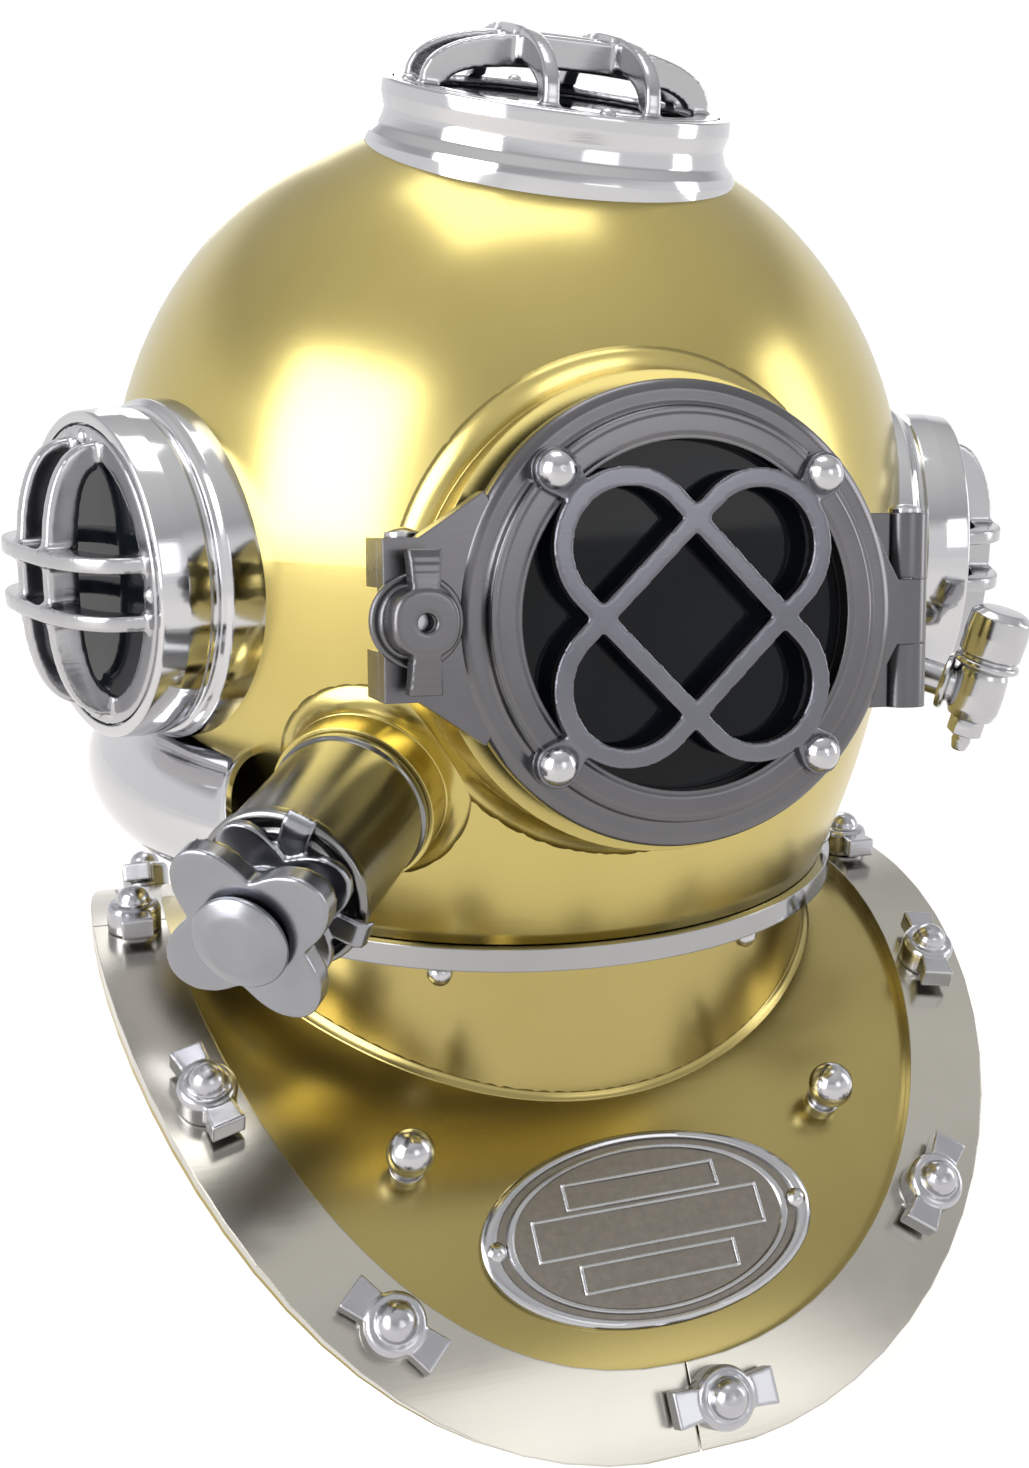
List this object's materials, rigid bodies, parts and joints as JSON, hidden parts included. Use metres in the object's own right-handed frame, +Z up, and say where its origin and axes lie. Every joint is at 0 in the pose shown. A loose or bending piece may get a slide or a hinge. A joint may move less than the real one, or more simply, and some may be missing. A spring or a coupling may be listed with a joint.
{
  "type": "diving helmet",
  "caption": "Brass hard-hat diving helmet: round bonnet with guarded windows and a hinged front door, on a curved breastplate with brails and wing nuts.",
  "frame": {"origin": "centre of the round neck opening in the breastplate", "axes": "+Z up along the neck's axis, -Y to the front that the helmet looks to, -X to the wearer's right"},
  "size_m": [0.371, 0.4273, 0.4462],
  "materials": {
    "brass_dome": "satin polished",
    "brass_plate": "satin polished",
    "bright_ring": "bright polished",
    "bright_brail": "bright polished",
    "bright_window": "bright polished",
    "bright_guard": "polished cast",
    "bright_stud": "bright polished",
    "bright_nut": "polished cast",
    "bright_cast": "polished cast",
    "bright_valve": "brushed nickel",
    "nickel": "satin brushed",
    "nickel_guard": "satin cast",
    "nickel_cast": "satin brushed",
    "plate_bronze": "antiqued cast, rubbed bright on the high places",
    "dark_glass": "polished",
    "black_rubber": "matt",
    "leather": "oiled"
  },
  "bodies": {
    "breastplate": {"breastplate_shell": "brass_plate", "breastplate_ring": "bright_ring", "neck_gasket": "leather", "front_right_brail": "bright_brail", "front_left_brail": "bright_brail", "rear_right_brail": "bright_brail", "rear_left_brail": "bright_brail", "brail_studs": "bright_stud", "name_plate": "plate_bronze", "plate_rivets": "bright_stud", "ball_studs": "bright_stud", "neck_screws": "bright_stud", "lock_bracket": "bright_cast"},
    "bonnet": {"bonnet_shell": "brass_dome", "bonnet_ring": "brass_plate", "window_seat": "nickel", "hinge_pin": "bright_cast", "latch_pin": "bright_cast", "door_seal": "black_rubber", "right_window_ring": "bright_window", "right_window_glass": "dark_glass", "right_window_guard": "bright_guard", "left_window_ring": "bright_window", "left_window_glass": "dark_glass", "left_window_guard": "bright_guard", "top_window_ring": "bright_window", "top_window_glass": "dark_glass", "top_window_guard": "bright_guard", "window_gaskets": "black_rubber", "bonnet_screws": "bright_stud", "exhaust_body": "bright_valve", "exhaust_duct": "bright_window", "exhaust_spring": "bright_stud", "cock_body": "bright_cast", "air_elbow": "brass_plate", "phone_elbow": "brass_plate"},
    "door": {"door_frame": "nickel", "door_glass": "dark_glass", "door_gasket": "black_rubber", "door_retainer": "nickel", "door_guard": "nickel_guard", "guard_rivets": "bright_stud"},
    "swing_bolt": {"swing_bolt": "bright_cast"},
    "latch_nut": {"latch_nut": "nickel_cast"},
    "exhaust_handwheel": {"exhaust_handwheel": "nickel_cast"},
    "exhaust_stem": {"exhaust_stem": "nickel_cast"},
    "cock_plug": {"cock_plug": "bright_cast"},
    "lock_lever": {"lock_lever": "bright_cast"},
    "wing_nut_1": {"wing_nut_1": "bright_nut"},
    "wing_nut_2": {"wing_nut_2": "bright_nut"},
    "wing_nut_3": {"wing_nut_3": "bright_nut"},
    "wing_nut_4": {"wing_nut_4": "bright_nut"},
    "wing_nut_5": {"wing_nut_5": "bright_nut"},
    "wing_nut_6": {"wing_nut_6": "bright_nut"},
    "wing_nut_7": {"wing_nut_7": "bright_nut"},
    "wing_nut_8": {"wing_nut_8": "bright_nut"},
    "wing_nut_9": {"wing_nut_9": "bright_nut"},
    "wing_nut_10": {"wing_nut_10": "bright_nut"},
    "wing_nut_11": {"wing_nut_11": "bright_nut"},
    "wing_nut_12": {"wing_nut_12": "bright_nut"}
  },
  "joints": [
    {"name": "bonnet_turn", "type": "hinge", "parent": "breastplate", "child": "bonnet", "pos_m": [0, 0, 0.0283], "axis": [0, 0, 1], "range_deg": [0, 45]},
    {"name": "door_swing", "type": "hinge", "parent": "bonnet", "child": "door", "pos_m": [0.07946, -0.16495, 0.14476], "axis": [0.0314, 0.1287, 0.9912], "range_deg": [0, 110]},
    {"name": "bolt_swing", "type": "hinge", "parent": "bonnet", "child": "swing_bolt", "pos_m": [-0.08096, -0.15935, 0.14912], "axis": [-0.0314, -0.1287, -0.9912], "range_deg": [0, 83]},
    {"name": "latch_nut_turn", "type": "hinge", "parent": "door", "child": "latch_nut", "pos_m": [-0.08096, -0.18017, 0.15182], "axis": [0, -0.9917, 0.1288], "range_deg": [0, 720]},
    {"name": "exhaust_turn", "type": "hinge", "parent": "bonnet", "child": "exhaust_handwheel", "pos_m": [-0.11618, -0.16409, 0.07491], "axis": [-0.5639, -0.7965, -0.2181], "range_deg": [-90, 540]},
    {"name": "exhaust_press", "type": "slide", "parent": "bonnet", "child": "exhaust_stem", "axis": [-0.5639, -0.7965, -0.2181], "range_m": [0, 0.002], "stiffness_N_per_m": 400, "springref_m": -0.002},
    {"name": "cock_turn", "type": "hinge", "parent": "bonnet", "child": "cock_plug", "pos_m": [0.14019, -0.11763, 0.1035], "axis": [0.1853, -0.1555, 0.9703], "range_deg": [0, 90]},
    {"name": "lock_swing", "type": "hinge", "parent": "breastplate", "child": "lock_lever", "pos_m": [0, 0.137, 0.024], "axis": [1, 0, 0], "range_deg": [0, 150]},
    {"name": "wing_nut_1_turn", "type": "hinge", "parent": "breastplate", "child": "wing_nut_1", "pos_m": [0.00812, -0.19878, -0.10112], "axis": [0, -0.8352, 0.5499], "range_deg": [0, 1080]},
    {"name": "wing_nut_2_turn", "type": "hinge", "parent": "breastplate", "child": "wing_nut_2", "pos_m": [-0.09151, -0.17455, -0.07021], "axis": [0, -0.7334, 0.6798], "range_deg": [0, 1080]},
    {"name": "wing_nut_3_turn", "type": "hinge", "parent": "breastplate", "child": "wing_nut_3", "pos_m": [-0.13715, -0.10692, -0.01937], "axis": [0, -0.4492, 0.8934], "range_deg": [0, 1080]},
    {"name": "wing_nut_4_turn", "type": "hinge", "parent": "breastplate", "child": "wing_nut_4", "pos_m": [-0.15098, -0.00594, 0.00593], "axis": [0, -0.0249, 0.9997], "range_deg": [0, 1080]},
    {"name": "wing_nut_5_turn", "type": "hinge", "parent": "breastplate", "child": "wing_nut_5", "pos_m": [-0.13908, 0.10065, -0.01633], "axis": [0, 0.4229, 0.9062], "range_deg": [0, 1080]},
    {"name": "wing_nut_6_turn", "type": "hinge", "parent": "breastplate", "child": "wing_nut_6", "pos_m": [-0.09315, 0.17334, -0.06892], "axis": [0, 0.7283, 0.6852], "range_deg": [0, 1080]},
    {"name": "wing_nut_7_turn", "type": "hinge", "parent": "breastplate", "child": "wing_nut_7", "pos_m": [0, 0.19888, -0.10126], "axis": [0, 0.8356, 0.5493], "range_deg": [0, 1080]},
    {"name": "wing_nut_8_turn", "type": "hinge", "parent": "breastplate", "child": "wing_nut_8", "pos_m": [0.09315, 0.17334, -0.06892], "axis": [0, 0.7283, 0.6852], "range_deg": [0, 1080]},
    {"name": "wing_nut_9_turn", "type": "hinge", "parent": "breastplate", "child": "wing_nut_9", "pos_m": [0.13908, 0.10065, -0.01633], "axis": [0, 0.4229, 0.9062], "range_deg": [0, 1080]},
    {"name": "wing_nut_10_turn", "type": "hinge", "parent": "breastplate", "child": "wing_nut_10", "pos_m": [0.15099, -0.00373, 0.00597], "axis": [0, -0.0157, 0.9999], "range_deg": [0, 1080]},
    {"name": "wing_nut_11_turn", "type": "hinge", "parent": "breastplate", "child": "wing_nut_11", "pos_m": [0.14203, -0.08959, -0.01151], "axis": [0, -0.3764, 0.9264], "range_deg": [0, 1080]},
    {"name": "wing_nut_12_turn", "type": "hinge", "parent": "breastplate", "child": "wing_nut_12", "pos_m": [0.10123, -0.16659, -0.06203], "axis": [0, -0.7, 0.7142], "range_deg": [0, 1080]}
  ],
  "couplings": [
    {"joint": "bolt_swing", "follows": "door_swing", "ratio": 0.75}
  ]
}
